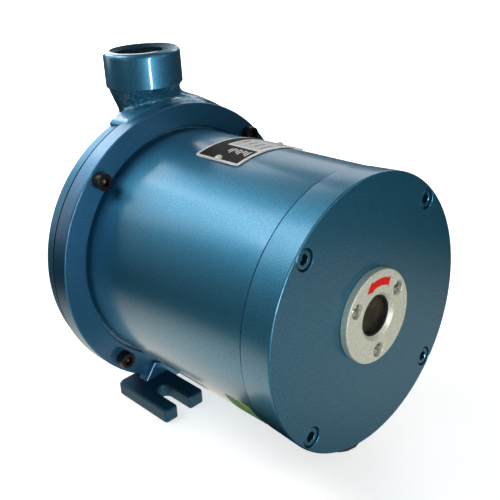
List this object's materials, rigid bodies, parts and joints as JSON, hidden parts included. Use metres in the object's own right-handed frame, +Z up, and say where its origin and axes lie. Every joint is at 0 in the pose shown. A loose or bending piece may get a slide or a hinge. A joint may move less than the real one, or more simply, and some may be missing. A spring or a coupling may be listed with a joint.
{
  "type": "circulator pump",
  "caption": "Canned-motor circulator pump with a round motor housing, flanged casing, upright outlet, end inlet, slotted feet and a sight glass.",
  "frame": {"origin": "middle of the box that the pump fills, at the height of the ground under its feet", "axes": "+Y along the shaft from the rear cover towards the inlet, +Z up through the outlet, +X towards the terminal box"},
  "size_m": [0.2011, 0.2364, 0.212],
  "materials": {
    "blue_enamel": "glossy metallic blue enamel on cast iron and steel",
    "blue_screw_finish": "screw heads painted with the cover",
    "black_oxide_steel": "black oxide, slightly oily",
    "bare_aluminium": "turned, satin",
    "nameplate_aluminium": "printed sheet, matte",
    "stainless_steel": "turned, satin",
    "electrical_steel": "laminated, matte",
    "carbon_graphite": "smooth, matte",
    "black_rubber": "moulded, matte",
    "gasket_sheet": "fibre sheet",
    "enamelled_copper": "varnished wire",
    "bronze": "cast and turned",
    "sight_glass": "clear glass over a dark bore",
    "black_plastic": "moulded nylon",
    "cream_plastic": "moulded, matte"
  },
  "bodies": {
    "pump": {"pump_casing": "blue_enamel", "casing_wear_ring": "bronze", "casing_gasket": "gasket_sheet", "adapter_flange": "blue_enamel", "casing_screw_1": "black_oxide_steel", "casing_screw_2": "black_oxide_steel", "casing_screw_3": "black_oxide_steel", "casing_screw_4": "black_oxide_steel", "stator_housing": "blue_enamel", "stator_core": "electrical_steel", "winding_rear": "enamelled_copper", "winding_front": "enamelled_copper", "stator_can": "stainless_steel", "rear_bearing_housing": "stainless_steel", "front_bearing_housing": "stainless_steel", "rear_bearing_bush": "carbon_graphite", "front_bearing_bush": "carbon_graphite", "can_seal_rear": "black_rubber", "can_seal_front": "black_rubber", "rear_cover": "blue_enamel", "cover_seal": "black_rubber", "cover_screw_1": "blue_screw_finish", "cover_screw_2": "blue_screw_finish", "cover_screw_3": "blue_screw_finish", "cover_screw_4": "blue_screw_finish", "sight_flange": "bare_aluminium", "sight_screw_1": "stainless_steel", "sight_screw_2": "stainless_steel", "sight_screw_3": "stainless_steel", "sight_glass": "sight_glass", "sight_glass_seal": "black_rubber", "nameplate": "nameplate_aluminium", "nameplate_rivet_1": "bare_aluminium", "nameplate_rivet_2": "bare_aluminium", "rear_foot": "black_rubber", "rear_foot_stud": "stainless_steel", "terminal_box": "blue_enamel", "terminal_box_gasket": "black_rubber", "terminal_box_lid": "blue_enamel", "lid_screw_1": "stainless_steel", "lid_screw_2": "stainless_steel", "lid_screw_3": "stainless_steel", "lid_screw_4": "stainless_steel", "terminal_block": "cream_plastic", "cable_gland": "black_plastic", "gland_nut": "black_plastic", "gland_seal": "black_rubber"},
    "rotor": {"shaft": "stainless_steel", "impeller_key": "stainless_steel", "rotor_core": "electrical_steel", "rotor_can": "stainless_steel", "rear_thrust_washer": "carbon_graphite", "front_thrust_washer": "carbon_graphite", "rear_shaft_sleeve": "stainless_steel", "front_shaft_sleeve": "stainless_steel", "impeller": "bronze", "impeller_washer": "stainless_steel", "impeller_nut": "stainless_steel"}
  },
  "joints": [
    {"name": "rotor_spin", "type": "hinge", "parent": "pump", "child": "rotor", "pos_m": [-0.01095, 0, 0.09], "axis": [0, -1, 0], "continuous": true}
  ]
}
